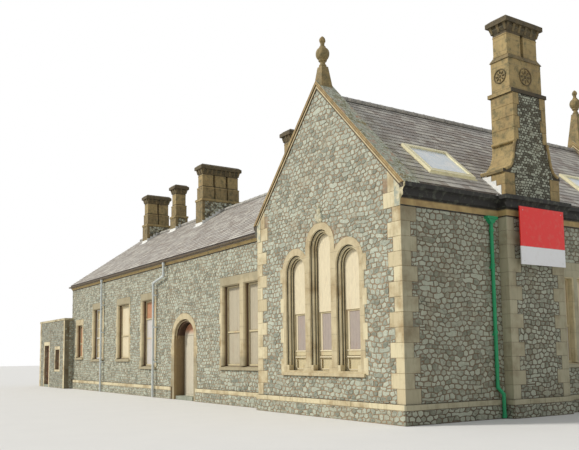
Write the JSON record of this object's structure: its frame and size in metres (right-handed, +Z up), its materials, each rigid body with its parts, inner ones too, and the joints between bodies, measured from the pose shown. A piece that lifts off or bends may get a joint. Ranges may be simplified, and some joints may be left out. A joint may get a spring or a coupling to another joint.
{
  "type": "railway station building",
  "caption": "Disused stone railway station: gabled wing with round-headed lights and a side stack, long slated range with ridge chimneys, low annexe with a plank door that swings.",
  "frame": {"origin": "on the ground, on the wing's centre line, at the middle of its front wall's thickness", "axes": "+X runs right along the front, +Y goes back into the building, +Z is up"},
  "size_m": [34.69, 12.665, 11.857],
  "materials": {
    "rubble": "rough rubble stone",
    "sandstone": "dressed stone",
    "slate": "slate",
    "flagstone": "flagstone",
    "board": "painted board",
    "door_planks": "old paint",
    "white_paint": "satin paint",
    "green_iron": "painted",
    "grey_iron": "painted",
    "sign_enamel": "enamel",
    "pane": "dusty glass"
  },
  "bodies": {
    "building": {"annexe_coping": "sandstone", "annexe_front_wall": "rubble", "annexe_outer_walls": "rubble", "annexe_over_door": "rubble", "annexe_pintles": "grey_iron", "annexe_roof": "slate", "annexe_window_board": "board", "chimney_breast": "rubble", "door_boards": "board", "door_surrounds": "sandstone", "finials": "sandstone", "floors": "flagstone", "gable_copings": "sandstone", "lancet_boards": "board", "lancet_surround": "sandstone", "plinth": "rubble", "range_downpipes": "grey_iron", "range_eaves": "sandstone", "range_end_wall": "rubble", "range_front_wall": "rubble", "range_gutters": "grey_iron", "range_rear_wall": "rubble", "range_ridge": "slate", "range_roof_front": "slate", "range_roof_rear": "slate", "range_window_boards": "board", "range_window_surrounds": "sandstone", "ridge_chimneys": "rubble", "sign_plate": "sign_enamel", "skylight_frames": "white_paint", "skylight_panes": "pane", "stack_base": "rubble", "stack_cap": "sandstone", "stack_shaft": "rubble", "wing_cornices": "sandstone", "wing_downpipe": "green_iron", "wing_front_wall": "rubble", "wing_left_wall": "rubble", "wing_rear_wall": "rubble", "wing_ridge": "slate", "wing_right_wall": "rubble", "wing_roof_left": "slate", "wing_roof_right": "slate", "wing_window_boards": "board", "wing_window_surrounds": "sandstone"},
    "annexe_door_leaf": {"annexe_door": "door_planks"}
  },
  "joints": [
    {"name": "annexe_door_hinge", "type": "hinge", "parent": "building", "child": "annexe_door_leaf", "pos_m": [-29.48, -0.101, 1.3], "axis": [0, 0, 1], "range_deg": [0, 90]}
  ]
}
